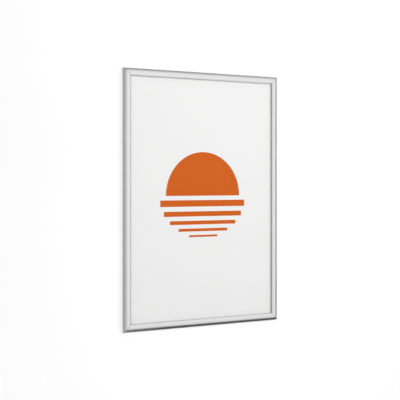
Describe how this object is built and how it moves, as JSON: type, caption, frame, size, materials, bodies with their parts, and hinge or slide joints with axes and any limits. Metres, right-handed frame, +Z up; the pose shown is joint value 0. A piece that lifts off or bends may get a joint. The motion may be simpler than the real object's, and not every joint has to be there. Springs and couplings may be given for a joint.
{
  "type": "poster frame",
  "caption": "Slim wall poster frame with mitred domed metal sides that hinge open at the front to change the sheet under a clear cover.",
  "frame": {"origin": "middle of the frame on the wall plane", "axes": "+Z up, -Y out of the wall towards the viewer, X across the width"},
  "size_m": [0.625, 0.012, 0.87],
  "materials": {
    "anodised_front": "satin silver anodised, fine lines along the extrusion",
    "anodised_base": "satin silver anodised, fine lines along the extrusion",
    "zinc_plated_steel": "bright zinc plated",
    "spring_steel": "tempered, slightly darkened",
    "white_styrene": "matt white sheet",
    "poster_paper": "coated white paper with a plain printed shape",
    "clear_film": "clear, low glare"
  },
  "bodies": {
    "root": {"base_profile_bottom": "anodised_base", "base_profile_left": "anodised_base", "base_profile_top": "anodised_base", "base_profile_right": "anodised_base", "corner_bracket_bottom_left": "zinc_plated_steel", "corner_bracket_top_left": "zinc_plated_steel", "corner_bracket_top_right": "zinc_plated_steel", "corner_bracket_bottom_right": "zinc_plated_steel", "back_panel": "white_styrene", "poster_sheet": "poster_paper", "cover_sheet": "clear_film"},
    "front_bottom": {"front_profile_bottom": "anodised_front"},
    "springs_bottom": {"spring_bottom_1": "spring_steel", "spring_bottom_2": "spring_steel"},
    "front_left": {"front_profile_left": "anodised_front"},
    "springs_left": {"spring_left_1": "spring_steel", "spring_left_2": "spring_steel", "spring_left_3": "spring_steel"},
    "front_top": {"front_profile_top": "anodised_front"},
    "springs_top": {"spring_top_1": "spring_steel", "spring_top_2": "spring_steel"},
    "front_right": {"front_profile_right": "anodised_front"},
    "springs_right": {"spring_right_1": "spring_steel", "spring_right_2": "spring_steel", "spring_right_3": "spring_steel"}
  },
  "joints": [
    {"name": "front_bottom_hinge", "type": "hinge", "parent": "root", "child": "front_bottom", "pos_m": [0, -0.0048, -0.43325], "axis": [1, 0, 0], "range_deg": [0, 90]},
    {"name": "springs_bottom_swing", "type": "hinge", "parent": "root", "child": "springs_bottom", "pos_m": [0, -0.0042, -0.4238], "axis": [1, 0, 0], "range_deg": [-24, 0]},
    {"name": "front_left_hinge", "type": "hinge", "parent": "root", "child": "front_left", "pos_m": [-0.31075, -0.0048, 0], "axis": [0, 0, -1], "range_deg": [0, 90]},
    {"name": "springs_left_swing", "type": "hinge", "parent": "root", "child": "springs_left", "pos_m": [-0.3013, -0.0042, 0], "axis": [0, 0, -1], "range_deg": [-24, 0]},
    {"name": "front_top_hinge", "type": "hinge", "parent": "root", "child": "front_top", "pos_m": [0, -0.0048, 0.43325], "axis": [-1, 0, 0], "range_deg": [0, 90]},
    {"name": "springs_top_swing", "type": "hinge", "parent": "root", "child": "springs_top", "pos_m": [0, -0.0042, 0.4238], "axis": [-1, 0, 0], "range_deg": [-24, 0]},
    {"name": "front_right_hinge", "type": "hinge", "parent": "root", "child": "front_right", "pos_m": [0.31075, -0.0048, 0], "axis": [0, 0, 1], "range_deg": [0, 90]},
    {"name": "springs_right_swing", "type": "hinge", "parent": "root", "child": "springs_right", "pos_m": [0.3013, -0.0042, 0], "axis": [0, 0, 1], "range_deg": [-24, 0]}
  ],
  "couplings": [
    {"joint": "springs_bottom_swing", "follows": "front_bottom_hinge", "ratio": -0.26},
    {"joint": "springs_left_swing", "follows": "front_left_hinge", "ratio": -0.26},
    {"joint": "springs_top_swing", "follows": "front_top_hinge", "ratio": -0.26},
    {"joint": "springs_right_swing", "follows": "front_right_hinge", "ratio": -0.26}
  ]
}
